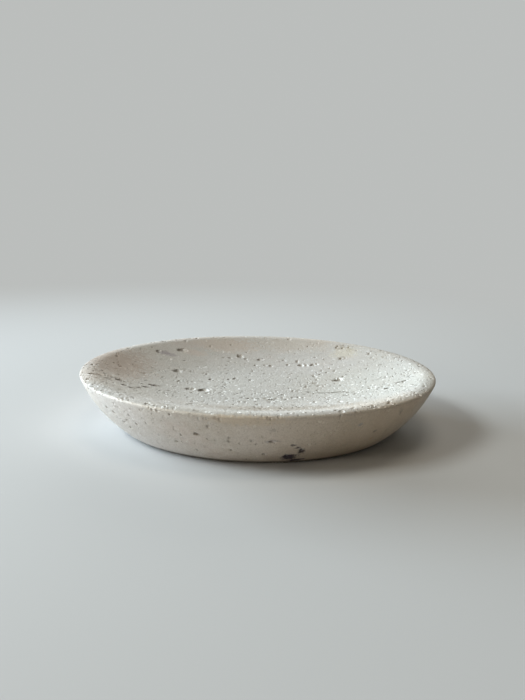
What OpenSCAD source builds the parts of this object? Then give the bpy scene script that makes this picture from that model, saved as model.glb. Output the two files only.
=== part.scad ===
// Round stone soap dish: a shallow basin turned in a thick disc whose side curves in to a smaller foot.
// One piece of natural stone. The origin is the centre of the resting face, +Z is up, lengths in mm.

/* [Outside] */
// Diameter over the widest part of the rim
rim_d = 120; // [90:1:160]
// Height from the resting face to the top of the lip
dish_h = 19; // [16:0.5:28]
// How far the edge of the flat resting face lies inside the rim, along a radius
foot_inset = 15.5; // [10:0.5:22]
// Radius of the full curve of the side, seen in section
side_bulge_r = 42; // [30:1:120]
// Radius of the small edge between the side and the resting face
foot_edge_r = 0.8; // [0.4:0.1:1.5]

/* [Lip] */
// How far the highest line of the lip lies inside the rim, along a radius
crest_inset = 2.75; // [2:0.25:6]
// Radius of the soft crown of the lip, seen in section
crown_r = 9; // [7:0.5:14]
// Radius of the small edge between the crown and the side
lip_edge_r = 0.6; // [0.4:0.1:1.5]

/* [Basin] */
// Depth of the level floor below the top of the lip
basin_depth = 6.5; // [3.5:0.25:8]
// Width of the sloping ring between the top of the lip and the level floor
slope_w = 40; // [18:1:41]

/* [Hidden] */
stone_colour = [0.80, 0.79, 0.75];
// Overrun that carries every cut past the surface it opens
cut_over = 2;
// How far neighbouring curves of the section lap over each other, so that they cross instead of only touching
curve_lap = 0.002;
$fn = 180;

rim_r = rim_d / 2;

// A point at distance from_a from a and from_b from b, on the left of the way from a to b
function meeting_point(a, from_a, b, from_b) =
    let (
        way = b - a,
        dist = norm(way),
        ahead = (dist * dist + from_a * from_a - from_b * from_b) / (2 * dist),
        aside = sqrt(from_a * from_a - ahead * ahead)
    )
    a + (ahead * way + aside * [-way[1], way[0]]) / dist;

// The point at distance r from c on the way from c to p
function on_way(c, r, p) = c + r * (p - c) / norm(p - c);

// Places in the section are [distance from the axis, height]. Curves meet halfway through their lap.
foot_c = [rim_r - foot_inset, foot_edge_r];
crown_c = [rim_r - crest_inset, dish_h - crown_r];

// The small edge of the lip reaches the rim and runs on from the crown.
edge_way = crown_r - lip_edge_r + curve_lap;
edge_aside = crest_inset - lip_edge_r;
lip_edge_c = crown_c + [edge_aside, sqrt(edge_way * edge_way - edge_aside * edge_aside)];
crown_out = on_way(crown_c, crown_r + curve_lap / 2, lip_edge_c);

side_c = meeting_point(
    foot_c, side_bulge_r - foot_edge_r + curve_lap,
    lip_edge_c, side_bulge_r - lip_edge_r + curve_lap
);
side_low = on_way(side_c, side_bulge_r + curve_lap / 2, foot_c);
side_high = on_way(side_c, side_bulge_r + curve_lap / 2, lip_edge_c);

// The slope is hollow, level where it meets the floor, and runs on into the crown of the lip.
floor_edge = [crown_c[0] - slope_w, dish_h - basin_depth];
both_r = (pow(slope_w, 2) + pow(basin_depth, 2) - pow(curve_lap, 2)) / (2 * (basin_depth - curve_lap));
slope_r = both_r - crown_r;
slope_c = floor_edge + [0, slope_r];
slope_end = on_way(slope_c, slope_r, [crown_c[0], dish_h]);
crown_in = on_way(slope_c, slope_r - curve_lap / 2, crown_c);

// The part of a disc of radius r about c that lies beyond its chord from p to q
module slice(c, r, p, q) {
    intersection() {
        translate(c)
            circle(r);
        polygon([p, 2 * p - c, 2 * q - c, q]);
    }
}

// Half section of the disc before the basin is turned in it
module blank_section() {
    polygon([
        [0, 0],
        [foot_c[0], 0],
        foot_c,
        side_low,
        side_high,
        lip_edge_c,
        crown_out,
        crown_in,
        [0, crown_in[1]]
    ]);
    translate(foot_c)
        circle(foot_edge_r);
    translate(lip_edge_c)
        circle(lip_edge_r);
    slice(side_c, side_bulge_r, side_low, side_high);
    slice(crown_c, crown_r, crown_out, crown_in);
}

// What is taken out of the half section: level floor, hollow slope and the space above them
module basin_section() {
    polygon([
        [-cut_over, floor_edge[1]],
        floor_edge,
        slope_end,
        [slope_end[0], dish_h + cut_over],
        [-cut_over, dish_h + cut_over]
    ]);
    slice(slope_c, slope_r, floor_edge, slope_end);
}

module dish() {
    color(stone_colour)
    rotate_extrude()
    difference() {
        blank_section();
        basin_section();
    }
}

dish();
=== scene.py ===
import math

import bmesh
import bpy
import numpy as np
from mathutils import Matrix, Vector
from mathutils.bvhtree import BVHTree
from mathutils.geometry import delaunay_2d_cdt
from mathutils.kdtree import KDTree


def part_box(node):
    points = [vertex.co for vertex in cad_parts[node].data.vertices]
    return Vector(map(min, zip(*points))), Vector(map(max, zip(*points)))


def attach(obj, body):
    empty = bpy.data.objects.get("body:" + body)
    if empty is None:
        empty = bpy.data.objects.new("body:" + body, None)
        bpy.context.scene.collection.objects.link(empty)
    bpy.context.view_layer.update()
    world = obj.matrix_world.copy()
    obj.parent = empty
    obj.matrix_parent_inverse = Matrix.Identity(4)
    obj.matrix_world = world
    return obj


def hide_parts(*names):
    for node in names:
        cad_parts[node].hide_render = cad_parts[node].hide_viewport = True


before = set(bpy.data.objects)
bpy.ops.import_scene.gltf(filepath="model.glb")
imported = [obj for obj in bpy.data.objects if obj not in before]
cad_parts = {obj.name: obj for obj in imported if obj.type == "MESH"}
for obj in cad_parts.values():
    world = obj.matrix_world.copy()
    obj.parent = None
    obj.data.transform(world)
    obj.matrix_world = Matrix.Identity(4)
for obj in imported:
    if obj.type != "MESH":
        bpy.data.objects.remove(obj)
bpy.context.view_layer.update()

# Lengths are in millimetres, but those of the lamps are in metres.
MM = 0.001
TAU = 2 * math.pi
# Least length by which anything is divided
TINY = 1e-6

# Section of the dish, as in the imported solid
cad_low, cad_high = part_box("dish")
RIM_R = (cad_high.x - cad_low.x) / 2 / MM
DISH_H = cad_high.z / MM
FOOT_INSET = 15.5
SIDE_BULGE_R = 42
FOOT_EDGE_R = 0.8
CREST_INSET = 2.75
CROWN_R = 9
LIP_EDGE_R = 0.6
BASIN_DEPTH = 6.5
SLOPE_W = 40

# The photograph's frame and the camera found from the rim's outline in it
PHOTO_W = 525
PHOTO_H = 700
FOCAL_PX = 1052
CAMERA_AT = Vector((1.4, -349.9, 99.3))
CAMERA_DOWN = math.radians(11.89)
CAMERA_ROLL = math.radians(1.18)
SENSOR = 36
CLIP_NEAR = 10
CLIP_FAR = 20000

SEED = 11


def placed(name, data):
    """A new object in the scene."""
    holder = bpy.data.objects.new(name, data)
    bpy.context.scene.collection.objects.link(holder)
    return holder


def camera_axes():
    """The camera's right, up and forward directions."""
    ahead = Vector((0, math.cos(CAMERA_DOWN), -math.sin(CAMERA_DOWN)))
    above = Vector((0, math.sin(CAMERA_DOWN), math.cos(CAMERA_DOWN)))
    aside = Vector((1, 0, 0))
    right = math.cos(CAMERA_ROLL) * aside + math.sin(CAMERA_ROLL) * above
    up = math.cos(CAMERA_ROLL) * above - math.sin(CAMERA_ROLL) * aside
    return right, up, ahead


def make_camera():
    right, up, ahead = camera_axes()
    camera = bpy.data.cameras.new("camera")
    camera.sensor_width = SENSOR
    camera.lens = SENSOR * FOCAL_PX / PHOTO_H
    camera.clip_start = CLIP_NEAR * MM
    camera.clip_end = CLIP_FAR * MM
    holder = placed("camera", camera)
    turn = Matrix((right, up, -ahead)).transposed()
    holder.matrix_world = Matrix.Translation(CAMERA_AT * MM) @ turn.to_4x4()
    bpy.context.scene.camera = holder


# Section line: places and outward directions along it, from the centre of the basin's floor over the lip
# and down the side to the edge of the resting face

# Spacing of its places
SECTION_STEP = 0.02


def straight(start, end, out):
    share = np.linspace(0, 1, max(2, round(math.dist(start, end) / SECTION_STEP)))[:, None]
    places = (1 - share) * np.array(start) + share * np.array(end)
    return places, np.tile(out, (len(places), 1))


def bend(centre, radius, start, end, out=1):
    angles = np.linspace(start, end, max(2, round(abs(end - start) * radius / SECTION_STEP)))
    ways = np.stack([np.cos(angles), np.sin(angles)], 1)
    return np.array(centre) + radius * ways, out * ways


def angle_to(start, end):
    return math.atan2(end[1] - start[1], end[0] - start[0])


def meeting_point(a, from_a, b, from_b):
    """The point at distance from_a from a and from_b from b, on the left of the way from a to b."""
    way = np.subtract(b, a)
    dist = np.hypot(*way)
    ahead = (dist**2 + from_a**2 - from_b**2) / (2 * dist)
    aside = math.sqrt(from_a**2 - ahead**2)
    return np.add(a, (ahead * way + aside * np.array([-way[1], way[0]])) / dist)


class Section:
    """Distance from the axis, height and outward direction by the length run along the section."""

    def __init__(self):
        foot_c = (RIM_R - FOOT_INSET, FOOT_EDGE_R)
        crown_c = (RIM_R - CREST_INSET, DISH_H - CROWN_R)
        edge_aside = CREST_INSET - LIP_EDGE_R
        edge_above = math.sqrt((CROWN_R - LIP_EDGE_R) ** 2 - edge_aside**2)
        edge_c = (crown_c[0] + edge_aside, crown_c[1] + edge_above)
        side_c = meeting_point(foot_c, SIDE_BULGE_R - FOOT_EDGE_R, edge_c, SIDE_BULGE_R - LIP_EDGE_R)
        floor_z = DISH_H - BASIN_DEPTH
        floor_r = crown_c[0] - SLOPE_W
        slope_r = (SLOPE_W**2 + BASIN_DEPTH**2) / (2 * BASIN_DEPTH) - CROWN_R
        slope_c = (floor_r, floor_z + slope_r)
        slope_turn = angle_to(slope_c, crown_c)
        crown_out = angle_to(crown_c, edge_c)
        high = angle_to(side_c, edge_c)
        low = angle_to(side_c, foot_c)
        quarter = math.pi / 2
        runs = [
            straight((0, floor_z), (floor_r, floor_z), (0, 1)),
            bend(slope_c, slope_r, -quarter, slope_turn, -1),
            bend(crown_c, CROWN_R, slope_turn + math.pi, crown_out),
            bend(edge_c, LIP_EDGE_R, crown_out, high),
            bend(side_c, SIDE_BULGE_R, high, low),
            bend(foot_c, FOOT_EDGE_R, low, -quarter),
        ]
        self.places = np.concatenate([run[0] for run in runs])
        self.ways = np.concatenate([run[1] for run in runs])
        steps = np.hypot(*np.diff(self.places, axis=0).T)
        self.length = np.concatenate([[0], np.cumsum(steps)])
        ends = self.length[np.cumsum([len(run[0]) for run in runs]) - 1]
        self.slope_end, self.crown_end, self.edge_end, self.side_end, self.end = ends[1:]
        self.foot_r = foot_c[0]

    def at(self, run):
        """r, z and the outward r and z at these lengths along the section."""
        return [np.interp(run, self.length, column) for column in (*self.places.T, *self.ways.T)]

    def nearest(self, r, z):
        return self.length[((self.places - (r, z)) ** 2).sum(1).argmin()]


section = Section()


# Charts: flat maps on which the surface is meshed. Both return places and outward directions.


def upper_surface(chart):
    """Basin, lip and side. A chart point's distance from the middle is its length along the section."""
    run = np.hypot(*chart.T)
    way = chart / np.maximum(run, TINY)[:, None]
    r, z, out_r, out_z = section.at(run)
    return np.column_stack([way * r[:, None], z]), np.column_stack([way * out_r[:, None], out_z])


def lower_surface(chart):
    """The resting face."""
    flat = np.zeros(len(chart))
    return np.column_stack([chart, flat]), np.column_stack([flat, flat, flat - 1])


def stretch_at(centre):
    """The matrix that takes a step on the surface, across and outwards, to a step on the upper chart."""
    run = max(np.hypot(*centre), TINY)
    r = section.at(run)[0]
    outwards = np.array(centre) / run
    across = np.array([-outwards[1], outwards[0]])
    widen = run / max(r, TINY)
    return np.column_stack([across * widen, outwards])


def level_turn(centre):
    """The turn of a pit on its chart that lays it along the dish's x on top, or level on the side."""
    if np.hypot(*centre) > section.crown_end:
        return 0.0
    return math.atan2(centre[1], centre[0]) + math.pi / 2


# Pits: uneven hollows with rather square corners, cut into the surface along its outward direction. A
# pit's wall rounds into its bottom, but on the right it is a plain ramp.

# Shares of the outline at which the rings of points of a pit and of a small one lie, and the half length
# below which a pit is small
PIT_RINGS = (0.35, 0.62, 0.84, 0.95, 1.0)
SMALL_RINGS = (0.62, 1.0)
SMALL_HALF = 0.42
# How far a last ring lies outside the outline
GUARD = 0.14
# Spacing of a ring's points, and the fewest and the most of them
PIT_STEP = 0.36
FEWEST = 7
MOST = 44

# Waves of the outline, their sizes as shares of its radius and the range by which these are varied
OUTLINE_WAVES = np.array([2, 3, 4, 5, 7])
OUTLINE_SHARES = np.array([0.1, 0.12, 0.08, 0.07, 0.05])
WAVE_RANGE = 0.3, 1.5
# A pit has its full waves up to this many widths in length, and smaller ones beyond
FULL_WAVES = 2.2
SQUARENESS = 2.8

# The wall's width as a share of the way out, the ramp's slope, and the place across a pit where its lit side
# begins and how softly, as shares of its half length
WALL = 0.28
RAMP_SLOPE = 0.45
LIT_FROM = 0.1
LIT_FADE = 0.3

# Share of the outline inside which the bottom is uneven, the range of its depths there, how many of them
# are drawn, and how many are passed in one radian and on the way out from the middle
BOTTOM = 0.6
BOTTOM_RANGE = 0.75, 1.15
BOTTOM_CELLS = 64
CELLS_ROUND = 9
CELLS_OUT = 31


class Pit:
    """A pit by its chart point, its half length, half width and depth, and its turn on the chart."""

    def __init__(self, centre, size, turn, draw, stretched=True, lit_from=LIT_FROM):
        half_l, half_w, self.depth = size
        self.centre = np.array(centre, float)
        self.half = np.array([half_l, half_w])
        self.lit_from = lit_from
        self.ramp = min(1.0, self.depth / (RAMP_SLOPE * half_l))
        spin = np.array([[math.cos(turn), -math.sin(turn)], [math.sin(turn), math.cos(turn)]])
        self.to_chart = (stretch_at(centre) if stretched else np.eye(2)) @ spin
        self.from_chart = np.linalg.inv(self.to_chart)
        steadied = min(1.0, FULL_WAVES * half_w / half_l)
        self.shares = OUTLINE_SHARES * draw.uniform(*WAVE_RANGE, len(OUTLINE_WAVES)) * steadied
        self.phases = draw.uniform(0, TAU, len(OUTLINE_WAVES))
        self.bottom = draw.uniform(*BOTTOM_RANGE, BOTTOM_CELLS)

    def outline(self, angle):
        waves = np.cos(np.outer(angle, OUTLINE_WAVES) + self.phases)
        square = np.abs(np.cos(angle)) ** SQUARENESS + np.abs(np.sin(angle)) ** SQUARENESS
        return (1 + waves @ self.shares) / square ** (1 / SQUARENESS)

    def reach(self):
        """How far the pit and its last ring reach on the chart."""
        grow = np.linalg.norm(self.to_chart, 2)
        return grow * (np.hypot(*self.half) * (1 + self.shares.sum()) + GUARD)

    def points(self):
        """Chart points that carry the pit's form."""
        shares = SMALL_RINGS if self.half.max() < SMALL_HALF else PIT_RINGS
        count = int(np.clip(TAU * math.sqrt((self.half**2).mean()) / PIT_STEP, FEWEST, MOST))
        angle = np.arange(count) * TAU / count
        edge = self.outline(angle)[:, None] * np.stack([np.cos(angle), np.sin(angle)], 1)
        rings = [edge[:1] * 0] + [edge * share for share in shares]
        guard = edge * self.half
        guard = guard * (1 + GUARD / np.linalg.norm(guard, axis=1))[:, None]
        return self.centre + np.vstack([np.vstack(rings) * self.half, guard]) @ self.to_chart.T

    def sunk(self, chart):
        """How deep the pit is at these chart points, zero outside it, and the same with the sign of its
        shade: below zero to the right of lit_from, where the ramp faces the light."""
        local = (chart - self.centre) @ self.from_chart.T / self.half
        angle = np.arctan2(local[:, 1], local[:, 0])
        share = np.hypot(*local.T) / self.outline(angle)
        rightward = np.clip(np.cos(angle), 0, 1)
        wall = WALL + (max(self.ramp, WALL) - WALL) * rightward
        climb = np.clip((1 - share) / wall, 0, 1)
        rounded = 1 + (1 - rightward) * (1 - climb)
        cell = (angle * CELLS_ROUND + share * CELLS_OUT).astype(int) % BOTTOM_CELLS
        depth = self.depth * climb * rounded * np.where(share < BOTTOM, self.bottom[cell], 1)
        return depth, depth * np.clip((self.lit_from - local[:, 0]) / LIT_FADE, -1, 1)


# Pits found in the photograph: x and y in its pixels, then length and width in mm
SEEN_PITS = [
    # rows on the left of the basin
    (93, 374, 3.4, 0.9), (100, 374.6, 1.8, 0.8), (107, 378, 1.9, 1.4), (112, 376.5, 0.9, 0.7),
    (118.5, 379.5, 2.4, 1.8), (123.5, 384.8, 1.4, 1.1), (131.5, 387.3, 1.9, 1.2), (138, 387.6, 1.3, 0.9),
    (145.5, 387, 2.2, 1.1), (153.5, 385.2, 3.8, 1.5), (177.5, 371, 3.6, 2.4), (188.6, 388.6, 1.9, 2.6),
    (203, 390, 3.4, 3), (207, 393, 1.6, 1.6), (94, 371, 1.3, 0.8), (97, 377.8, 1.1, 0.7),
    (129, 381.5, 0.9, 0.9), (163, 377, 1, 1.2), (180, 381, 1.2, 1.6), (177, 378, 1, 1.2),
    (210.5, 379.5, 1.4, 1.6), (207, 374, 1.5, 1.4), (229, 379.5, 1, 1.4), (226, 383, 0.8, 1),
    (223.5, 386.5, 0.9, 1.2),
    # far left of the basin and lip
    (159, 351.3, 2.2, 2.8), (182.5, 350.2, 4, 2.8), (141, 349, 1.2, 1.2), (117.5, 356.3, 1.7, 1.1),
    (186, 341, 1, 1.8), (190, 338, 1.5, 1.6), (197, 338.5, 1.3, 1.4), (119, 365, 1, 1),
    (211, 346.5, 1, 1.6), (214, 337.2, 0.8, 1),
    # middle of the basin
    (240.5, 356.3, 2.6, 3), (230.5, 358, 1.6, 1.8), (246, 358.8, 1.4, 1.6), (260, 359.6, 2.2, 2),
    (255.5, 365.5, 1.3, 1.4), (271, 366, 1.8, 1.8), (297.5, 361.5, 1.3, 2.6), (301, 365.4, 2.2, 2.2),
    (313.2, 364.7, 2.2, 2), (341, 358.6, 1.5, 1.4), (338, 346.2, 1.1, 1.2), (342.5, 348.4, 0.9, 1.1),
    (349, 347.4, 0.8, 1), (337.5, 380.3, 4, 2), (315, 376.8, 1.6, 1.4), (315.5, 383.2, 2, 1.6),
    (327, 372.5, 1.2, 1.4), (248.5, 398.5, 1.6, 1), (259, 398.3, 1.4, 0.8), (273.5, 399.8, 3.4, 1.4),
    (266.5, 398.4, 1.6, 1), (286, 399.5, 1.2, 0.9), (310.5, 392.2, 2.2, 1), (347.5, 395.2, 3, 1),
    (355, 394.2, 1.3, 0.8), (387.5, 388.2, 2.2, 1.5), (402.5, 381.5, 3.8, 0.8), (393, 368.5, 0.9, 1.2),
    (367, 368.6, 0.8, 1.2), (253, 371, 1, 1.6), (238, 393.5, 1.1, 1),
    (221, 392.5, 1.3, 1), (375, 387, 1.4, 1), (361, 382.5, 0.9, 0.9), (293, 391.5, 1.1, 0.9),
    (302, 386, 0.9, 0.9),
    # near lip
    (336, 410, 1.4, 1), (342, 411.6, 1.8, 1), (377, 407.2, 1.6, 0.9), (390, 403.4, 2.2, 1),
    (419, 394.8, 2.2, 1), (425, 391.5, 1.4, 0.9), (93, 386, 1.4, 0.8), (103, 390, 1.6, 0.7),
    (122, 394.5, 1.4, 0.9), (147.3, 403.4, 1.8, 1.2), (165.5, 402.8, 1.2, 0.9), (128, 398, 1, 0.8),
    # side
    (152, 409.8, 1.2, 0.9), (157, 411, 1.3, 1), (149, 407.6, 0.9, 0.8), (169.5, 414.2, 1.2, 0.8),
    (124, 421.8, 1.4, 1), (136.5, 424, 1.2, 0.9), (106.5, 407, 0.9, 1.2), (113.5, 412, 0.8, 1.4),
    (130.5, 427.2, 0.9, 0.8), (146, 423, 0.8, 0.9), (206.5, 418.6, 0.8, 1.2), (219.5, 419.8, 0.8, 1.1),
    (208, 426.8, 1, 1.2), (197, 434.2, 2.2, 0.9), (207.5, 439, 0.8, 0.9), (229, 437.8, 0.8, 1),
    (229, 441.4, 0.9, 0.8), (252, 441.2, 0.8, 0.8), (262.5, 436.5, 0.7, 1), (264.5, 454.3, 1.6, 1.4),
    (272.5, 442, 2.4, 0.9), (163, 446.4, 1.2, 0.7), (177, 441.2, 1.3, 0.9), (182.5, 441.8, 0.8, 1),
    (197.5, 450, 1.2, 0.8), (205.5, 447.2, 0.8, 0.7), (157, 440.6, 0.7, 0.7), (361, 424.2, 1, 1),
    (374.5, 431, 1.1, 0.8), (375.5, 439.2, 1.2, 0.7), (400.5, 412.4, 0.9, 1.4), (342, 429, 0.6, 0.8),
    (256.5, 444.5, 0.7, 0.8), (286, 455.4, 1.4, 1.2), (301.5, 449.8, 1.4, 1.6), (238, 448.5, 0.7, 0.7),
]

# Small slopes that catch the light and get a painted highlight, found and given the same way
SEEN_GLINTS = [
    (179.8, 371.2, 1.1, 2), (192.8, 388.9, 2, 3.2), (206.8, 390.4, 1.6, 3), (207.8, 393.2, 0.9, 1.8),
    (204, 373.2, 1, 1.6), (178.3, 381.7, 0.9, 1.6), (227.5, 398.8, 1.2, 1.6), (240, 401.7, 1.1, 1.8),
    (252.5, 398.9, 1.6, 1.6), (265, 398.4, 1.2, 1.8), (268.3, 400.2, 1, 1.6), (255, 406.6, 0.9, 1.8),
    (230, 407.8, 0.8, 1.8), (187, 350.6, 1, 1.4), (245, 359.2, 0.9, 1.3), (263, 359.5, 1, 1.3),
    (236, 362.5, 0.8, 1.2), (124, 381.6, 1.2, 1.5), (120, 378.6, 0.9, 1.2),
    (165, 393.3, 1.1, 1.4), (153, 401.6, 1.1, 1), (192.5, 401.6, 0.9, 1.4), (306.6, 365.4, 1.4, 2.2),
    (316.8, 364.3, 1.4, 2), (340, 379.3, 1.8, 4.2), (335.8, 378.6, 0.8, 1.6), (343.6, 376.4, 0.9, 1.8),
    (314.2, 383.3, 1.4, 2.2), (308.2, 382.6, 0.8, 1.5), (306.6, 385.8, 0.9, 1.5), (314, 375.6, 1.1, 2),
    (321.6, 370.8, 1, 1.6), (330, 368.4, 0.9, 1.4), (335, 370.9, 1.1, 1.6), (293.2, 390.8, 1.1, 1.6),
    (298.2, 391.2, 1, 1.6), (346, 394.2, 1.1, 1.4), (340.6, 401.6, 1.7, 2.4), (348.4, 402.6, 1.2, 2),
    (360, 404, 1.1, 1.8), (370, 388.2, 1.2, 1.6), (373.4, 387.2, 0.9, 1.4), (390, 385, 1.2, 1.6),
    (396.8, 383.4, 1.1, 1.6), (403.4, 382.4, 1, 1.5), (397.6, 393.4, 0.9, 1.6), (401, 395.8, 1.1, 1.5),
    (405.8, 396.2, 1.1, 1.2), (377.6, 406.7, 1.3, 1.2), (341.8, 410.7, 1.5, 1.2), (354, 407.4, 1.1, 1.6),
    (366.8, 402.6, 0.9, 1.6), (270.4, 397.4, 1, 1.4), (276.8, 398.2, 1.1, 1.5), (283, 397.6, 0.8, 1.4),
    (270.2, 401.8, 0.9, 1.8), (256, 393.2, 0.8, 1.4), (418.4, 365.2, 1, 1.2), (424, 366, 1, 1.1),
    (430, 376.8, 1.2, 1.2), (414, 371.8, 0.9, 1.3), (303.4, 397.6, 0.9, 1.6), (295, 412.6, 0.8, 1),
    (426.7, 375.8, 0.9, 1.2), (433, 378.6, 0.9, 1.1), (419, 379.2, 0.9, 1.4), (421.8, 380.2, 0.8, 1.2),
    (415, 393.6, 1, 1), (408, 394.8, 0.9, 1), (428.5, 371, 0.8, 1), (424, 384, 0.9, 1.1),
    (121.8, 380.5, 1.3, 2), (126, 385.2, 1, 1.4), (134.4, 388, 1.1, 1.6), (140.6, 388, 0.9, 1.4),
    (148.4, 387.2, 1.1, 1.4), (158.6, 385.9, 1.3, 1.6), (110.4, 378.8, 1.1, 1.6), (97, 374, 0.8, 1.2),
    (126.4, 382.6, 0.9, 1.2), (116, 377.6, 0.8, 1.2), (131, 383.6, 0.8, 1.2), (104, 381.6, 0.8, 1.2),
    (150.2, 404.3, 0.8, 0.9), (166.4, 403.1, 0.9, 0.9), (161.8, 410, 0.8, 0.8), (172.4, 411.9, 0.7, 0.8),
    (125.8, 422.3, 0.9, 0.8), (131.6, 427.4, 0.8, 0.7), (137.8, 424.4, 0.8, 0.7), (144.8, 421.7, 0.7, 0.7),
    (198.4, 418.6, 0.7, 1.5), (203.8, 417.8, 0.6, 1.2), (208.6, 423.6, 0.7, 1.5), (209.6, 427.4, 0.9, 1),
    (220.9, 419.8, 0.7, 1.2), (199, 434.7, 0.9, 0.8), (114.8, 412.8, 0.7, 1.2), (107.8, 407.8, 0.7, 1),
    (100.8, 403.6, 0.7, 1.1), (153.5, 410.4, 0.7, 0.8), (158.6, 411.6, 0.7, 0.8), (95.6, 399.4, 0.6, 1),
    (223.6, 393.6, 0.8, 1.4), (216.4, 386.8, 0.7, 1.4), (288.6, 377.6, 0.8, 1.4), (325.4, 397.2, 0.9, 1.6),
]

# Fine cracks found the same way: width and depth in mm, then the pixels that each passes
SEEN_CRACKS = [
    (0.6, 0.12, [(305, 391.2), (315, 392.6), (327, 392.8), (345, 391.8)]),
    (0.5, 0.15, [(380, 384.5), (392, 383), (403, 381), (408, 379.5)]),
    (0.4, 0.15, [(290, 443), (296, 446), (301, 449)]),
]

# Factor on the width of these pits, which the low view shortens, and their depth as a share of their length
ON_TOP = 1.2, 0.2
ON_SIDE = 1.15, 0.22
# A glint's depth as a share of its length, and the place from which it is lit, to the left of all of it
GLINT_DEPTH = 0.25
ALL_LIT = -2
# Ranges of a crack pit's half length as a share of its piece of the crack, and of its width as one of the
# crack's
CRACK_LENGTHS = 0.3, 0.5
CRACK_WIDTHS = 0.7, 1.4


def smooth_solid():
    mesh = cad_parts["dish"].data
    return BVHTree.FromPolygons([v.co for v in mesh.vertices], [p.vertices for p in mesh.polygons])


def seen_place(x, y, solid):
    """Where the view line through a pixel of the photograph meets the smooth dish."""
    right, up, ahead = camera_axes()
    way = FOCAL_PX * ahead + (x - PHOTO_W / 2) * right - (y - PHOTO_H / 2) * up
    return solid.ray_cast(CAMERA_AT * MM, way.normalized())[0] / MM


def chart_of(place):
    """The upper chart's point for a place on the dish."""
    r = math.hypot(place.x, place.y)
    return np.array([place.x, place.y]) * section.nearest(r, place.z) / max(r, TINY)


def seen_on_chart(rows, solid):
    """The chart point, length and width of each row."""
    return [(chart_of(seen_place(x, y, solid)), length, width) for x, y, length, width in rows]


def seen_pits(solid, draw):
    pits = []
    for centre, length, width in seen_on_chart(SEEN_PITS, solid):
        widen, deep = ON_TOP if np.hypot(*centre) < section.crown_end else ON_SIDE
        size = length / 2, width / 2 * widen, length * deep
        pits.append(Pit(centre, size, level_turn(centre), draw))
    return pits


def seen_glints(solid, draw):
    glints = []
    for centre, length, width in seen_on_chart(SEEN_GLINTS, solid):
        size = length / 2, width / 2, length * GLINT_DEPTH
        glints.append(Pit(centre, size, level_turn(centre), draw, lit_from=ALL_LIT))
    return glints


def seen_cracks(solid, draw):
    """Chains of narrow pits, each lying along one piece of its crack."""
    pits = []
    for width, depth, pixels in SEEN_CRACKS:
        spots = [chart_of(seen_place(x, y, solid)) for x, y in pixels]
        for start, end in zip(spots, spots[1:]):
            centre = (start + end) / 2
            way = np.linalg.inv(stretch_at(centre)) @ (end - start)
            half_l = draw.uniform(*CRACK_LENGTHS) * np.hypot(*way)
            half_w = width / 2 * draw.uniform(*CRACK_WIDTHS)
            pits.append(Pit(centre, (half_l, half_w, depth), math.atan2(way[1], way[0]), draw))
    return pits


# Scattered pits: how many, their smallest half size and their depth as a share of it
SCATTER_TOP = 900, 0.22, 0.38
SCATTER_LIP = 1500, 0.16, 0.6
SCATTER_SIDE = 400, 0.18, 0.5
SCATTER_BASE = 260, 0.25, 0.6
# Mean growth of their half size as a share of the smallest, and the largest half size
GROWTH = 0.6
COARSEST = 0.65
# Ranges of their length, width and depth against these, and the spread of their turn
LENGTHS = 0.7, 1.3
WIDTHS = 0.9, 1.6
DEPTHS = 0.6, 1.3
TURN_SPREAD = 0.3
# Steps in which they are shared out by area
AREA_STEPS = 400

# The far side has a closer grain: places along y between which it closes, and the share of pits left there
OPEN_UP_TO = -5
CLOSED_FROM = 35
CLOSED_SHARE = 0.25

# The lip has fewest pits at its near and far points: places along x, either way, between which it opens, the
# least share of its pits, and how far inside the lip this starts
LIP_CLOSED_UP_TO = 20
LIP_OPEN_FROM = 34
LIP_LEAST = 0.05
LIP_INSIDE = 3


def scattered(kind, inner, outer, draw, stretched=True):
    """Pits between two distances from a chart's middle, even by area of the stone but for the closer grain
    on the far side. Many are small and a few are large."""
    count, fine, deep = kind
    pits = []
    runs = np.linspace(inner, outer, AREA_STEPS)
    weight = np.cumsum(section.at(runs)[0] if stretched else runs)
    picks = np.interp(draw.uniform(0, weight[-1], count), weight, runs)
    for run in picks:
        angle = draw.uniform(0, TAU)
        centre = run * np.array([math.cos(angle), math.sin(angle)])
        if draw.uniform(0, 1) < np.interp(centre[1], [OPEN_UP_TO, CLOSED_FROM], [1, CLOSED_SHARE]):
            half = min(fine * (1 + GROWTH * draw.exponential()), COARSEST)
            half_l = half * draw.uniform(*LENGTHS)
            half_w = half * draw.uniform(*WIDTHS)
            depth = half * deep * draw.uniform(*DEPTHS)
            turn = (level_turn(centre) if stretched else 0) + draw.normal(0, TURN_SPREAD)
            pits.append(Pit(centre, (half_l, half_w, depth), turn, draw, stretched))
    return pits


def lip_thinned(pits, draw):
    """The pits without those of the lip that fall where it has few."""
    kept = []
    for pit in pits:
        share = np.interp(abs(pit.centre[0]), [LIP_CLOSED_UP_TO, LIP_OPEN_FROM], [LIP_LEAST, 1])
        if np.hypot(*pit.centre) < section.slope_end - LIP_INSIDE or draw.uniform() < share:
            kept.append(pit)
    return kept


# How far scattered pits keep off the middle, the lip's edge below it, the foot and the resting face's
# border, how far inside the lip its own pits start, and how far all of them keep off the seen ones
MIDDLE_CLEAR = 1
SIDE_CLEAR = 1
FOOT_CLEAR = 1.2
BASE_CLEAR = 1.5
LIP_BEFORE = 4
SEEN_CLEAR = 0.5


def clear_of(pits, others):
    """The pits whose centres keep off the others."""
    spots = np.array([other.centre for other in others])
    least = np.array([other.half.max() for other in others]) + SEEN_CLEAR
    return [pit for pit in pits if (np.hypot(*(spots - pit.centre).T) > least).all()]


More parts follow.
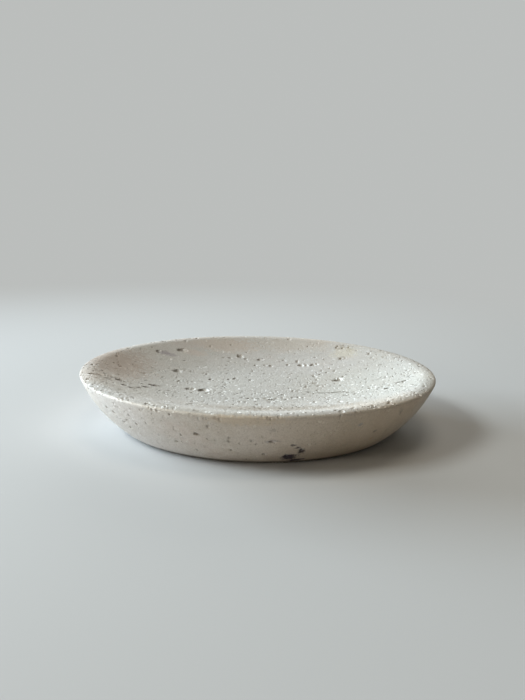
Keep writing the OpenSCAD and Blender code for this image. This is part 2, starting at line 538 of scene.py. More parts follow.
def upper_pits(draw, solid):
    """The pits of the basin, lip and side."""
    seen = seen_pits(solid, draw) + seen_glints(solid, draw) + seen_cracks(solid, draw)
    top = scattered(SCATTER_TOP, MIDDLE_CLEAR, section.edge_end, draw)
    lip = scattered(SCATTER_LIP, section.slope_end - LIP_BEFORE, section.edge_end, draw)
    inside = lip_thinned(top, draw) + lip_thinned(lip, draw)
    side = scattered(SCATTER_SIDE, section.edge_end + SIDE_CLEAR, section.end - FOOT_CLEAR, draw)
    return seen + clear_of(inside + side, seen)


# Meshing

# Spacing of the loose points of basin and side and of the resting face
GRID = 1.2
BASE_GRID = 2.2
# How far they keep off the border, as a share of their spacing, and the upper ones off the foot
GRID_MARGIN = 0.6
GRID_CLEAR = 1
# Rings of points round the lip: how far before and past it they run, their steps and their points' spacing
RINGS_BEFORE = 0.4
RINGS_PAST = 0.5
LIP_STEP = 0.3
LIP_SPACING = 0.8
# The same round the foot: how far above it they start, how many they are and their points' spacing
RINGS_ABOVE = 0.5
FOOT_RINGS = 4
FOOT_SPACING = 1.0
# How far loose points keep off the rings
RING_CLEAR = 0.4
# Points on a chart's border, how far the others keep off it, and how close any two may come
BORDER_COUNT = 560
BORDER_CLEAR = 0.05
MERGE = 1e-4
# How far apart the two charts' border points may be to be welded
WELD = 0.02

# Radius of the upper chart on the UV map, and how much of the corner beside it the resting face takes and
# where its middle lies in that
UV_MAIN = 0.485
CORNER_FILL = 0.8
CORNER_PLACE = 0.62

# How rough the side's grain is against the top's
SIDE_GRAIN = 0.45
# How far inside the lip's small edge the top's grain starts to give way to the side's
LIP_TURN = 0.5


def ring(run, spacing):
    """Chart points evenly spaced on one circle of the stone, staggered from one circle to the next."""
    count = round(TAU * section.at(run)[0] / spacing)
    angle = (np.arange(count) + 0.5 * (round(run * 10) % 2)) * TAU / count
    return run * np.stack([np.cos(angle), np.sin(angle)], 1)


def hexagons(limit, spacing):
    """A triangular grid of chart points inside a circle."""
    rows = math.sqrt(3) / 2 * spacing
    n = int(limit / rows) + 2
    j, i = np.mgrid[-n : n + 1, -n : n + 1]
    grid = np.stack([(i + 0.5 * (j % 2)) * spacing, j * rows], -1).reshape(-1, 2)
    return grid[np.hypot(*grid.T) < limit - GRID_MARGIN * spacing]


def upper_points():
    """Chart points of the upper surface: rings round the lip and the foot, a triangular grid elsewhere."""
    lip_runs = np.arange(section.slope_end - RINGS_BEFORE, section.edge_end + RINGS_PAST, LIP_STEP)
    foot_runs = np.linspace(section.side_end - RINGS_ABOVE, section.end, FOOT_RINGS + 1)[:-1]
    loose = hexagons(section.end - GRID_CLEAR, GRID)
    run = np.hypot(*loose.T)
    off_lip = (run < lip_runs[0] - RING_CLEAR) | (run > lip_runs[-1] + RING_CLEAR)
    loose = loose[off_lip & (run < foot_runs[0] - RING_CLEAR)]
    lip_rings = [ring(run, LIP_SPACING) for run in lip_runs]
    foot_rings = [ring(run, FOOT_SPACING) for run in foot_runs]
    return np.vstack([loose, *lip_rings, *foot_rings])


def point_tree(chart):
    tree = KDTree(len(chart))
    for i, (x, y) in enumerate(chart):
        tree.insert((x, y, 0), i)
    tree.balance()
    return tree


def points_near(tree, pit, margin=0):
    return np.array([i for _, i, _ in tree.find_range((*pit.centre, 0), pit.reach() + margin)], int)


def outside_pits(chart, pits):
    """The chart points that lie in no pit."""
    tree = point_tree(chart)
    keep = np.ones(len(chart), bool)
    for pit in pits:
        near = points_near(tree, pit, GUARD)
        local = (chart[near] - pit.centre) @ pit.from_chart.T
        size = np.linalg.norm(local, axis=1)
        edge = pit.outline(np.arctan2(local[:, 1] / pit.half[1], local[:, 0] / pit.half[0]))
        share = np.linalg.norm(local / pit.half, axis=1) / edge
        inside = share < 1 + 2 * GUARD / np.maximum(size, GUARD)
        keep[near[inside]] = False
    return chart[keep]


def sink(chart, pits):
    """The depth and shade of the deepest pit at each chart point."""
    tree = point_tree(chart)
    depth, shade = np.zeros((2, len(chart)))
    for pit in pits:
        near = points_near(tree, pit)
        deep, shaded = pit.sunk(chart[near])
        deeper = deep > depth[near]
        depth[near[deeper]] = deep[deeper]
        shade[near[deeper]] = shaded[deeper]
    return depth, shade


def patch(loose, radius, surface, pits):
    """A meshed chart out to this radius: places, triangles, shade and chart points."""
    angle = np.arange(BORDER_COUNT) * TAU / BORDER_COUNT
    border = np.stack([np.cos(angle), np.sin(angle)], 1) * radius
    carried = np.vstack([pit.points() for pit in pits])
    inner = np.vstack([outside_pits(loose, pits), carried])
    inner = inner[np.hypot(*inner.T) < radius - BORDER_CLEAR]
    chart = np.vstack([border, inner])
    made = delaunay_2d_cdt([Vector(p) for p in chart], [], [], 0, MERGE)
    chart = np.array(made[0])
    faces = np.array(made[2])
    places, ways = surface(chart)
    depth, shade = sink(chart, pits)
    return places - ways * depth[:, None], faces, shade, chart


def set_numbers(mesh, name, values):
    """Keeps one number for each point of the mesh, for its material."""
    numbers = mesh.attributes.new(name, "FLOAT", "POINT")
    numbers.data.foreach_set("value", values.astype(np.float32))


def lay_out(mesh, upper_chart, lower_chart):
    """A map with the basin, lip and side as one disc and the resting face as a small one in the corner."""
    layer = mesh.uv_layers.new(name="OFBake")
    corner = 0.5 * (1 - 1 / math.sqrt(2)) * CORNER_FILL
    big = upper_chart * UV_MAIN / section.end + 0.5
    small = lower_chart * corner * 0.5 / section.foot_r + corner * CORNER_PLACE
    spots = np.vstack([big, small])
    corners = np.empty(len(mesh.loops), np.int32)
    mesh.loops.foreach_get("vertex_index", corners)
    layer.uv.foreach_set("vector", spots[corners].astype(np.float32).ravel())


def join_halves(mesh):
    """Welds the resting face to the side along their common edge."""
    work = bmesh.new()
    work.from_mesh(mesh)
    edge = [v for v in work.verts if v.is_boundary]
    bmesh.ops.remove_doubles(work, verts=edge, dist=WELD * MM)
    bmesh.ops.recalc_face_normals(work, faces=work.faces)
    work.to_mesh(mesh)
    work.free()


def make_dish(solid):
    draw = np.random.RandomState(SEED)
    places, faces, shade, chart = patch(upper_points(), section.end, upper_surface, upper_pits(draw, solid))
    base_pits = scattered(SCATTER_BASE, MIDDLE_CLEAR, section.foot_r - BASE_CLEAR, draw, stretched=False)
    base_points = hexagons(section.foot_r, BASE_GRID)
    low_places, low_faces, low_shade, low_chart = patch(base_points, section.foot_r, lower_surface, base_pits)

    corners = [Vector(p) * MM for p in np.vstack([places, low_places])]
    triangles = np.vstack([faces, low_faces[:, ::-1] + len(places)])
    mesh = bpy.data.meshes.new("dish_stone")
    mesh.from_pydata(corners, [], triangles.tolist())
    holder = placed("dish_stone", mesh)

    turn = [section.crown_end - LIP_TURN, section.edge_end]
    grain = np.interp(np.hypot(*chart.T), turn, [1, SIDE_GRAIN])
    set_numbers(mesh, "shade", np.concatenate([shade, low_shade]))
    set_numbers(mesh, "grain", np.concatenate([grain, np.ones(len(low_chart))]))
    lay_out(mesh, chart, low_chart)
    join_halves(mesh)
    mesh.polygons.foreach_set("use_smooth", np.ones(len(mesh.polygons), bool))
    mesh.update()
    return holder


# Node helpers


def new_material(name):
    """A material, its node tree and its shader."""
    material = bpy.data.materials.new(name)
    material.use_nodes = True
    tree = material.node_tree
    return material, tree, tree.nodes["Principled BSDF"]


def add(tree, kind, inputs=(), **settings):
    """A node, with a value or another node's socket for each of these inputs."""
    node = tree.nodes.new("ShaderNode" + kind)
    for name, value in settings.items():
        setattr(node, name, value)
    for key, value in dict(inputs).items():
        socket = node.inputs[key]
        if isinstance(value, bpy.types.NodeSocket):
            tree.links.new(value, socket)
        else:
            socket.default_value = value
    return node


def calc(tree, operation, *values):
    return add(tree, "Math", dict(enumerate(values)), operation=operation).outputs[0]


def product(tree, first, *others):
    for other in others:
        first = calc(tree, "MULTIPLY", first, other)
    return first


def vector_calc(tree, operation, *vectors):
    return add(tree, "VectorMath", dict(enumerate(vectors)), operation=operation).outputs[0]


def scaled(tree, vector, factor):
    return add(tree, "VectorMath", {0: vector, "Scale": factor}, operation="SCALE").outputs[0]


def length_of(tree, vector):
    return add(tree, "VectorMath", {0: vector}, operation="LENGTH").outputs[1]


def spread(tree, value, low, high, to_low=0.0, to_high=1.0, smooth=False):
    """The value's place between low and high, brought to between to_low and to_high and kept inside them."""
    kind = "SMOOTHSTEP" if smooth else "LINEAR"
    inputs = {0: value, 1: low, 2: high, 3: to_low, 4: to_high}
    return add(tree, "MapRange", inputs, interpolation_type=kind, clamp=True).outputs[0]


def noise(tree, place, scale, detail=2.0, rough=0.5, twist=0.0, output=0):
    inputs = {"Vector": place, "Scale": scale, "Detail": detail, "Roughness": rough, "Distortion": twist}
    return add(tree, "TexNoise", inputs).outputs[output]


def attribute(tree, name):
    return add(tree, "Attribute", attribute_name=name).outputs["Fac"]


def blend(tree, share, first, second, kind="MIX"):
    node = add(tree, "Mix", {0: share, 6: first, 7: second}, data_type="RGBA", blend_type=kind)
    return node.outputs[2]


def layer(tree, base, value, limits, tint, smooth=False):
    """The base colour under a tint, whose share follows the value by the limits that spread takes."""
    return blend(tree, spread(tree, value, *limits, smooth=smooth), base, tint)


def colour(r, g, b):
    return (r, g, b, 1.0)


# Stains and inclusions found in the photograph: x and y in its pixels, half sizes, colour, strength
# Two of these, marked below, are patches of painted light rather than stains
STAINS_AND_PAINTED_LIGHT = [
    (164.5, 352.8, 2.8, 2.4, (0.28, 0.25, 0.28), 0.7), (171.5, 354.6, 3, 2, (0.31, 0.28, 0.31), 0.6),
    (160, 351.6, 1.6, 2, (0.28, 0.26, 0.27), 0.55), (196, 353, 5, 3.5, (0.6, 0.5, 0.45), 0.4),
    (345, 353, 6, 6, (0.66, 0.6, 0.47), 0.4), (225, 345, 14, 8, (0.55, 0.46, 0.39), 0.45),
    (117, 363, 14, 22, (0.38, 0.31, 0.265), 0.85), (378, 386, 26, 30, (0.61, 0.63, 0.61), 0.55),
    (331, 392.7, 8.5, 1.2, (0.28, 0.27, 0.25), 0.7), (350, 379, 17, 1, (0.42, 0.42, 0.4), 0.4),
    (382, 378.3, 9, 1.2, (0.4, 0.4, 0.38), 0.5), (275, 366.6, 10, 0.8, (0.4, 0.39, 0.37), 0.35),
    (93.5, 373.8, 2.6, 1.6, (0.09, 0.075, 0.06), 0.9), (99.5, 375.2, 1.4, 1.3, (0.12, 0.1, 0.08), 0.8),
    (108.2, 378.8, 1.7, 1.6, (0.11, 0.09, 0.075), 0.85),
    (111.5, 377.2, 1.2, 1.2, (0.15, 0.125, 0.105), 0.75), (119.2, 380, 2, 1.8, (0.1, 0.08, 0.07), 0.88),
    (124, 384.8, 1.5, 1.4, (0.12, 0.1, 0.085), 0.8), (132.2, 387.7, 2.1, 1.6, (0.1, 0.085, 0.07), 0.88),
    (139, 387.4, 1.4, 1.3, (0.14, 0.12, 0.1), 0.75), (146, 386.8, 1.7, 1.3, (0.12, 0.1, 0.085), 0.8),
    (155, 385.5, 2.8, 1.7, (0.09, 0.075, 0.065), 0.92), (187.9, 388.6, 0.9, 1.4, (0.1, 0.085, 0.07), 0.88),
    (201.6, 389.6, 1.6, 1.5, (0.1, 0.085, 0.07), 0.88), (248.3, 398.4, 0.6, 0.9, (0.14, 0.12, 0.1), 0.8),
    (273.7, 399.8, 0.8, 1.1, (0.12, 0.1, 0.09), 0.8), (210, 379.6, 0.7, 1.2, (0.18, 0.15, 0.13), 0.65),
    (227.8, 379.4, 0.6, 1.2, (0.2, 0.17, 0.15), 0.6), (177.2, 371.4, 0.9, 1.2, (0.14, 0.12, 0.1), 0.8),
    # The second on the next row, warm over the right of the side, is painted shade
    (275, 409, 34, 6, (0.36, 0.325, 0.285), 0.85), (386, 421, 24, 18, (0.6, 0.475, 0.33), 0.3),
    (300, 343, 26, 9, (0.52, 0.455, 0.385), 0.4), (240, 421, 17, 2.2, (0.66, 0.53, 0.38), 0.45),
    (390, 403, 3, 1, (0.45, 0.36, 0.27), 0.55), (301.4, 451, 1.3, 1.7, (0.05, 0.035, 0.035), 0.97),
    (293.5, 445.4, 1.2, 0.55, (0.13, 0.1, 0.1), 0.85), (297.8, 447.8, 1.3, 0.6, (0.1, 0.07, 0.07), 0.9),
    (289, 457, 3, 2.6, (0.035, 0.025, 0.04), 0.98), (295, 459.8, 3.6, 1.1, (0.05, 0.035, 0.05), 0.95),
    (371, 438, 1.2, 0.8, (0.58, 0.4, 0.24), 0.5), (360.5, 424.6, 1.1, 1, (0.34, 0.33, 0.33), 0.6),
    (374.5, 431.2, 1, 0.7, (0.27, 0.23, 0.2), 0.6), (401, 411, 0.9, 2.2, (0.36, 0.3, 0.24), 0.5),
    (197, 434.4, 1.3, 0.8, (0.23, 0.18, 0.14), 0.65), (207.4, 426.4, 0.8, 1, (0.28, 0.22, 0.17), 0.55),
    (219, 419.6, 0.8, 1.1, (0.36, 0.28, 0.21), 0.4), (214.6, 418.2, 0.7, 0.9, (0.38, 0.29, 0.21), 0.45),
    (264.5, 454, 1.1, 1, (0.38, 0.31, 0.25), 0.55), (256, 444, 0.9, 0.7, (0.4, 0.33, 0.28), 0.45),
    (340, 347.2, 2.6, 2.8, (0.34, 0.29, 0.22), 0.45), (349.5, 348.6, 1.2, 4, (0.38, 0.34, 0.25), 0.4),
    (341, 358.4, 1.8, 2.2, (0.3, 0.27, 0.23), 0.6), (86, 374, 9, 14, (0.66, 0.58, 0.52), 0.4),
    # The first on the next row, pale on the right of the lip, is painted light
    (430, 374, 7, 9, (0.8, 0.8, 0.78), 0.5), (272.5, 441.4, 2.4, 0.9, (0.38, 0.34, 0.34), 0.65),
    (402, 381.5, 2.4, 1.2, (0.16, 0.15, 0.13), 0.8), (334.8, 380.2, 1.1, 1.4, (0.14, 0.13, 0.11), 0.8),
    (386.6, 388.3, 1, 1.3, (0.16, 0.15, 0.13), 0.75), (336.3, 410, 1, 1.3, (0.15, 0.14, 0.11), 0.8),
    (418.6, 395, 0.8, 1.3, (0.18, 0.15, 0.12), 0.7), (273, 430.5, 1.3, 1, (0.38, 0.33, 0.29), 0.4),
    (251.3, 441.1, 0.9, 0.8, (0.36, 0.31, 0.28), 0.5), (228.7, 438, 0.7, 0.9, (0.34, 0.28, 0.23), 0.55),
    (228.5, 441.5, 0.9, 0.7, (0.36, 0.3, 0.26), 0.5),
]


# The outline of a stain or patch of painted light is uneven by a noise, whose limits are shares of its half
# sizes
WOBBLE_NOISE = 0.9, 3, 0.6
WOBBLE_LIMITS = 0.25, 0.75, -0.45, 0.45
# Where a stain or patch begins and where it is full, as shares of its half sizes
STAIN_LIMITS = 1.15, 0.35


def with_stains_and_painted_light(tree, base, place, solid):
    """The base colour with the stains and the patches of painted light over it, each an uneven oval that
    fades out at its edge.
    """
    wobble = spread(tree, noise(tree, place, *WOBBLE_NOISE), *WOBBLE_LIMITS)
    for x, y, half_l, half_w, tint, strength in STAINS_AND_PAINTED_LIGHT:
        away = vector_calc(tree, "SUBTRACT", place, tuple(seen_place(x, y, solid)))
        away = length_of(tree, vector_calc(tree, "DIVIDE", away, (half_l, half_w, half_w)))
        mask = spread(tree, calc(tree, "ADD", away, wobble), *STAIN_LIMITS, smooth=True)
        base = blend(tree, product(tree, mask, strength), base, colour(*tint))
    return base


# Layers of the stone's colour. A noise is its features per millimetre, its detail, roughness and twist.
# Limits are the values between which a layer comes in, then its share at each where that isn't 0 and 1.
CLOUD_NOISE = 0.032, 3, 0.55, 0.4
CLOUD_LIMITS = 0.36, 0.64
CLOUD_TINTS = colour(0.6, 0.54, 0.475), colour(0.655, 0.6, 0.555)
# Warm and cool clouds over these: a shift that keeps them off the others, their noise, limits and tint
MORE_CLOUDS = [
    ((31, 7, 3), (0.06, 2, 0.5, 0.3), (0.52, 0.72, 0, 0.5), colour(0.61, 0.51, 0.445)),
    ((5, 83, 11), (0.07, 2, 0.5, 0.3), (0.54, 0.74, 0, 0.5), colour(0.55, 0.53, 0.49)),
]
# The basin's middle is greyer: the place where it is most so, and the limits of the distance from there
WORN_AT = (-14, 0, 0)
WORN_LIMITS = 15, 48, 0.7, 0
WORN_TINT = colour(0.49, 0.47, 0.44)
MOTTLE_NOISE = 0.34, 4, 0.6
MOTTLE_LIMITS = 0.4, 0.66, 0, 0.55
MOTTLE_TINT = colour(0.71, 0.66, 0.61)
# A vein runs where a noise that is long across the dish passes its mean
VEIN_STRETCH = (0.016, 0.1, 0.16)
VEIN_NOISE = 1.0, 5, 0.62, 0.25
NOISE_MEAN = 0.5
VEIN_LIMITS = 0, 0.012, 0.3, 0
VEIN_TINT = colour(0.43, 0.39, 0.35)
# The grain is long away from the viewer, to make up for the low view
GRAIN_STRETCH = (1, 0.4, 1)
GRAIN_NOISE = 2.2, 3, 0.7
GRAIN_LAYERS = [
    ((0.32, 0.52, 0.38, 0), colour(0.44, 0.4, 0.36)),
    ((0.52, 0.68, 0, 0.3), colour(0.8, 0.78, 0.74)),
]


def stone_colour(tree, place):
    """Warm grey clouds with paler mottling, faint level veins and a fine grain; and the mottling's noise."""
    clouds = noise(tree, place, *CLOUD_NOISE)
    base = blend(tree, spread(tree, clouds, *CLOUD_LIMITS, smooth=True), *CLOUD_TINTS)
    for shift, pattern, limits, tint in MORE_CLOUDS:
        clouds = noise(tree, vector_calc(tree, "ADD", place, shift), *pattern)
        base = layer(tree, base, clouds, limits, tint, smooth=True)
    away = vector_calc(tree, "MULTIPLY", vector_calc(tree, "SUBTRACT", place, WORN_AT), (1, 1, 0))
    base = layer(tree, base, length_of(tree, away), WORN_LIMITS, WORN_TINT, smooth=True)
    mottle = noise(tree, place, *MOTTLE_NOISE)
    base = layer(tree, base, mottle, MOTTLE_LIMITS, MOTTLE_TINT)

    bands = noise(tree, vector_calc(tree, "MULTIPLY", place, VEIN_STRETCH), *VEIN_NOISE)
    line = calc(tree, "ABSOLUTE", calc(tree, "SUBTRACT", bands, NOISE_MEAN))
    base = layer(tree, base, line, VEIN_LIMITS, VEIN_TINT, smooth=True)

    grain = noise(tree, vector_calc(tree, "MULTIPLY", place, GRAIN_STRETCH), *GRAIN_NOISE)
    for limits, tint in GRAIN_LAYERS:
        base = layer(tree, base, grain, limits, tint)
    return base, mottle


# Painted light: tones that multiply the stone's colour. The top is cooler than the side, and the side is
# paler and cooler on its left, where the window's light falls, and warmer on its right, in shade: the side's
# two tones, and the places along x between which they blend.
TOP_PAINTED_LIGHT = colour(0.855, 0.915, 0.98)
SIDE_PAINTED_LIGHT = colour(1.035, 1.06, 1.1), colour(0.96, 0.885, 0.78)
SIDE_FROM = -48
SIDE_TO = 30
# Painted light on the lip's small edge: painted shade at its left end and a painted highlight near it: its
# two tones, and the places along x where it starts to get paler, is palest and is like the rest again
EDGE_PAINTED_LIGHT = colour(0.76, 0.76, 0.74), colour(1.24, 1.24, 1.22)
EDGE_FROM = -52
EDGE_PALEST = -44
EDGE_TO = 0
PLAIN = colour(1, 1, 1)


def painted_light_tone(tree, x, grain):
    """The painted light of the top, the side and the lip's small edge, which the grain tells apart."""
    side = blend(tree, spread(tree, x, SIDE_FROM, SIDE_TO, smooth=True), *SIDE_PAINTED_LIGHT)
    light_tone = blend(tree, spread(tree, grain, SIDE_GRAIN, 1), side, TOP_PAINTED_LIGHT)
    edge = blend(tree, spread(tree, x, EDGE_FROM, EDGE_PALEST), *EDGE_PAINTED_LIGHT)
    edge = blend(tree, spread(tree, x, EDGE_PALEST, EDGE_TO), edge, PLAIN)
    middle = (1 + SIDE_GRAIN) / 2
    off_side = spread(tree, grain, SIDE_GRAIN, middle)
    off_top = spread(tree, grain, middle, 1, 1, 0)
    return blend(tree, calc(tree, "MINIMUM", off_side, off_top), light_tone, edge, "MULTIPLY")


# Fields of hollows too small to be modelled: cells per millimetre, the largest radius in cells, the share of
# cells that hold one, and a number that keeps each field off the others
COARSE_PORES = 0.62, 0.42, 0.25, 3
FINE_PORES = 1.15, 0.42, 0.35, 17
COARSE_FACETS = 0.85, 0.45, 0.5, 41
FINE_FACETS = 1.4, 0.48, 0.55, 59
# Width in cells of the wall of a pore and of a facet
PORE_WALL = 0.16
FACET_WALL = 0.12
# Unevenness of a facet's outline: its features per cell and its size in cells
WAVES_IN_CELL = 2.5
WAVE_SIZE = 0.9
# Range of a facet's sideways lean: below zero it faces the light, as most do
FACET_LEAN = -1.3, 0.91


def seeded(tree, place, seed):
    return vector_calc(tree, "ADD", place, (seed, 2 * seed, 3 * seed))


def hollows(tree, place, scale, size, share):
    """How far inside a scattered round hollow a place is, in cells, and a number drawn for each hollow."""
    cells = add(tree, "TexVoronoi", {"Vector": place, "Scale": scale}, feature="F1")
    drawn = add(tree, "SeparateColor", {0: cells.outputs["Color"]}).outputs
    radius = spread(tree, drawn[0], 1 - share, 1, 0, size)
    return calc(tree, "SUBTRACT", radius, cells.outputs["Distance"]), drawn[1]


def pores(tree, place, scale, size, share, seed):
    """Height of a field of pores, zero at the surface and minus one at their bottoms."""
    inside, _ = hollows(tree, seeded(tree, place, seed), scale, size, share)
    return spread(tree, inside, 0, PORE_WALL, 0, -1, smooth=True)


def facets(tree, place, scale, size, share, seed):
    """How far the surface leans sideways in a field of small facets."""
    place = seeded(tree, place, seed)
    waves = noise(tree, place, WAVES_IN_CELL * scale, output="Color")
    place = vector_calc(tree, "ADD", place, scaled(tree, waves, WAVE_SIZE / scale))
    inside, drawn = hollows(tree, place, scale, size, share)
    return product(tree, spread(tree, inside, 0, FACET_WALL), spread(tree, drawn, 0, 1, *FACET_LEAN))


# How open the grain is, along y
OPEN_LIMITS = OPEN_UP_TO, CLOSED_FROM, 1, CLOSED_SHARE
# The side's grain is nearly as open as the top's on the far left: limits along x
ROUGH_LIMITS = -55, -12, 0.9, 0
# Facets lean more on the near side: limits along y
NEAR_LIMITS = -45, -5, 1.1, 1
# Limits of a pit's shade at which its ramp is lit. On the side this fades to the right, and a ramp stands
# out less on the far left, which faces the window: limits along x.
LIT_LIMITS = -0.02, -0.12
SIDE_LIT_LIMITS = SIDE_FROM, SIDE_TO, 1, 0
WINDOW_LIMITS = -57, -30, 0.2, 1
# Lit ramps lean to the light, and a painted highlight makes their colour paler
LIT_LEAN = (-0.85, -0.1, 0)
PAINTED_HIGHLIGHT_SHARE = 0.5
PAINTED_HIGHLIGHT_TINT = colour(0.84, 0.83, 0.8)
# Limits of the facets' lean at which those facing the light get a painted highlight and those facing away
# painted shade; and of the pits' shade at which they hold dust and painted shade on their side away from the
# light, of which there is less on the far side: limits along y
FACET_PAINTED_HIGHLIGHT_LIMITS = -0.3, -1.4, 0, 0.7
FACET_PAINTED_SHADE_LIMITS = 0.4, 1.4, 0, 0.22
PIT_DUST_AND_SHADE_LIMITS = 0.09, 0.38, 0, 0.62
FAR_DUST_AND_SHADE_LIMITS = OPEN_UP_TO, CLOSED_FROM, 1, 0.6
DUST_AND_SHADE_TINT = colour(0.24, 0.215, 0.185)
# Painted contact shade: the foot of the side is darkened up to some height, but not the resting face, which
# has the top's grain
CONTACT_SHADE_LIMITS = 0.4, 1.5, 0.8, 0
CONTACT_SHADE_GRAIN = SIDE_GRAIN, 0.5, 1, 0
CONTACT_SHADE_TINT = colour(0.1, 0.085, 0.07)

# Pores and facets are long away from the viewer too
SLENDER = (1, 0.5, 1)
# Heights of the pores and of the unevenness between them
COARSE_HEIGHT = 0.25
FINE_HEIGHT = 0.15
UNEVEN_HEIGHT = 0.2
UNEVEN_NOISE = 1.1, 3, 0.6
# Roughness by the mottling
ROUGHNESS_LIMITS = 0.3, 0.7, 0.55, 0.7


def stone_normal(tree, slender, open_grain, lean, lit):
    """The surface's direction with pores, facets and lit ramps."""
    coarse = product(tree, pores(tree, slender, *COARSE_PORES), COARSE_HEIGHT)
    fine = product(tree, pores(tree, slender, *FINE_PORES), FINE_HEIGHT)
    uneven = product(tree, noise(tree, slender, *UNEVEN_NOISE), UNEVEN_HEIGHT)
    height = calc(tree, "ADD", calc(tree, "ADD", coarse, fine), uneven)
    bump = add(tree, "Bump", {"Height": product(tree, height, open_grain), "Distance": MM})
    sideways = add(tree, "CombineXYZ", {0: lean}).outputs[0]
    turn = vector_calc(tree, "ADD", sideways, scaled(tree, LIT_LEAN, lit))
    return vector_calc(tree, "NORMALIZE", vector_calc(tree, "ADD", bump.outputs[0], turn))


def stone_material(solid):
    material, tree, shader = new_material("stone")
    place = scaled(tree, add(tree, "TexCoord").outputs["Object"], 1 / MM)
    x, y, z = add(tree, "SeparateXYZ", {0: place}).outputs
    slender = vector_calc(tree, "MULTIPLY", place, SLENDER)
    grain = attribute(tree, "grain")
    shade = attribute(tree, "shade")

    openness = spread(tree, y, *OPEN_LIMITS)
    rough = calc(tree, "MAXIMUM", grain, spread(tree, x, *ROUGH_LIMITS))
    open_grain = product(tree, openness, rough)
    lean = calc(tree, "ADD", facets(tree, slender, *COARSE_FACETS), facets(tree, slender, *FINE_FACETS))
    lean = product(tree, lean, open_grain, spread(tree, y, *NEAR_LIMITS))
    side_lit = calc(tree, "MAXIMUM", rough, spread(tree, x, *SIDE_LIT_LIMITS))
    lit = product(tree, spread(tree, shade, *LIT_LIMITS), openness, side_lit)
    lit = product(tree, lit, spread(tree, x, *WINDOW_LIMITS))

    base, mottle = stone_colour(tree, place)
    # Painted light: the top, the side and the lip's edge are toned apart by how the light falls on them
    base = blend(tree, 1.0, base, painted_light_tone(tree, x, grain), "MULTIPLY")
    base = with_stains_and_painted_light(tree, base, place, solid)
    # Facets that lean away from the light get painted shade, and those that lean to it a painted highlight
    base = layer(tree, base, lean, FACET_PAINTED_SHADE_LIMITS, DUST_AND_SHADE_TINT)
    base = layer(tree, base, lean, FACET_PAINTED_HIGHLIGHT_LIMITS, PAINTED_HIGHLIGHT_TINT)
    # Pits hold dust and painted shade on their side away from the light
    dust_and_shade = product(tree, spread(tree, shade, *PIT_DUST_AND_SHADE_LIMITS), spread(tree, y, *FAR_DUST_AND_SHADE_LIMITS))
    base = blend(tree, dust_and_shade, base, DUST_AND_SHADE_TINT)
    # Lit ramps of pits get a painted highlight
    base = blend(tree, product(tree, lit, PAINTED_HIGHLIGHT_SHARE), base, PAINTED_HIGHLIGHT_TINT)
    # Painted contact shade at the foot of the side
    contact_shade = product(tree, spread(tree, z, *CONTACT_SHADE_LIMITS, smooth=True), spread(tree, grain, *CONTACT_SHADE_GRAIN))
    base = blend(tree, contact_shade, base, CONTACT_SHADE_TINT)

    tree.links.new(base, shader.inputs["Base Color"])
    tree.links.new(stone_normal(tree, slender, open_grain, lean, lit), shader.inputs["Normal"])
    tree.links.new(spread(tree, mottle, *ROUGHNESS_LIMITS), shader.inputs["Roughness"])
    return material


# Surroundings: a pale floor that fades into a plain pale backdrop, and soft light

FLOOR_HALF = 4000
FLOOR_COLOUR = colour(0.585, 0.605, 0.635)
FLOOR_ROUGHNESS = 0.8
BACKDROP_COLOUR = colour(0.5, 0.515, 0.505)
# How far from the dish the floor fades
FADE_START = 120
FADE_END = 350
# Light from all round
SOFT_COLOUR = colour(1.0, 0.8, 0.52)
SOFT_STRENGTH = 0.085
# Lamps: name, place, width, height, power in watts and colour
LAMPS = [
    ("window", (-0.9, 0.45, 0.225), 0.9, 0.18, 19.5, (0.8, 0.93, 1.0)),
    ("high_left", (-0.9, -0.3, 0.9), 0.6, 0.3, 7.2, (0.93, 0.968, 0.92)),
    ("ceiling", (0.1, 0, 1.2), 0.5, 0.5, 2.1, (1.0, 0.9, 0.74)),
    ("back", (0, 1.15, 0.35), 0.6, 0.4, 2.35, (1.0, 0.985, 0.9)),
    ("low_left", (-0.9, -0.75, 0.375), 0.3, 0.3, 2.2, (1.0, 0.9, 0.74)),
]


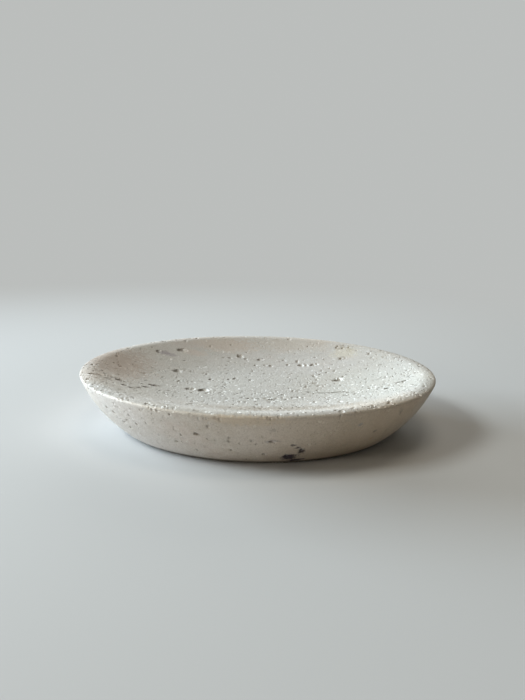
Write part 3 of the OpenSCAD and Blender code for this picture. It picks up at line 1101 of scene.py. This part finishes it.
def seen_directly(tree):
    """One for rays from the camera, or seen in a glossy or clear surface."""
    rays = add(tree, "LightPath").outputs
    shown = calc(tree, "MAXIMUM", rays["Is Camera Ray"], rays["Is Glossy Ray"])
    return calc(tree, "MAXIMUM", shown, rays["Is Transmission Ray"])


def show_backdrop(tree, output, shader, kind, share):
    """Ends a tree in its shader, of which the plain backdrop takes a share."""
    plain = add(tree, kind, {"Color": BACKDROP_COLOUR, "Strength": 1.0})
    mix = add(tree, "MixShader", {0: share, 1: shader.outputs[0], 2: plain.outputs[0]})
    tree.links.new(mix.outputs[0], tree.nodes[output].inputs["Surface"])


def make_floor():
    mesh = bpy.data.meshes.new("floor")
    corners = [(-1, -1), (1, -1), (1, 1), (-1, 1)]
    half = FLOOR_HALF * MM
    mesh.from_pydata([(x * half, y * half, 0) for x, y in corners], [], [(0, 1, 2, 3)])
    floor = placed("floor", mesh)
    material, tree, shader = new_material("floor")
    shader.inputs["Base Color"].default_value = FLOOR_COLOUR
    shader.inputs["Roughness"].default_value = FLOOR_ROUGHNESS
    away = length_of(tree, add(tree, "TexCoord").outputs["Object"])
    far = spread(tree, away, FADE_START * MM, FADE_END * MM, smooth=True)
    show_backdrop(tree, "Material Output", shader, "Emission", product(tree, far, seen_directly(tree)))
    mesh.materials.append(material)


def make_world():
    world = bpy.data.worlds.new("studio")
    bpy.context.scene.world = world
    world.use_nodes = True
    tree = world.node_tree
    soft = tree.nodes["Background"]
    soft.inputs["Color"].default_value = SOFT_COLOUR
    soft.inputs["Strength"].default_value = SOFT_STRENGTH
    show_backdrop(tree, "World Output", soft, "Background", seen_directly(tree))


def make_lamps():
    """Soft rectangular lights, aimed at the dish and out of sight themselves."""
    for name, at, width, height, power, tint in LAMPS:
        data = bpy.data.lights.new(name, "AREA")
        data.shape = "RECTANGLE"
        data.size = width
        data.size_y = height
        data.energy = power
        data.color = tint
        holder = placed(name, data)
        holder.location = at
        holder.rotation_euler = Vector(at).to_track_quat("Z", "Y").to_euler()
        holder.visible_camera = False


solid = smooth_solid()
make_camera()
dish = make_dish(solid)
dish.data.materials.append(stone_material(solid))
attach(dish, "root")
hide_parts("dish")
make_floor()
make_world()
make_lamps()
bpy.context.scene.view_settings.view_transform = "Standard"
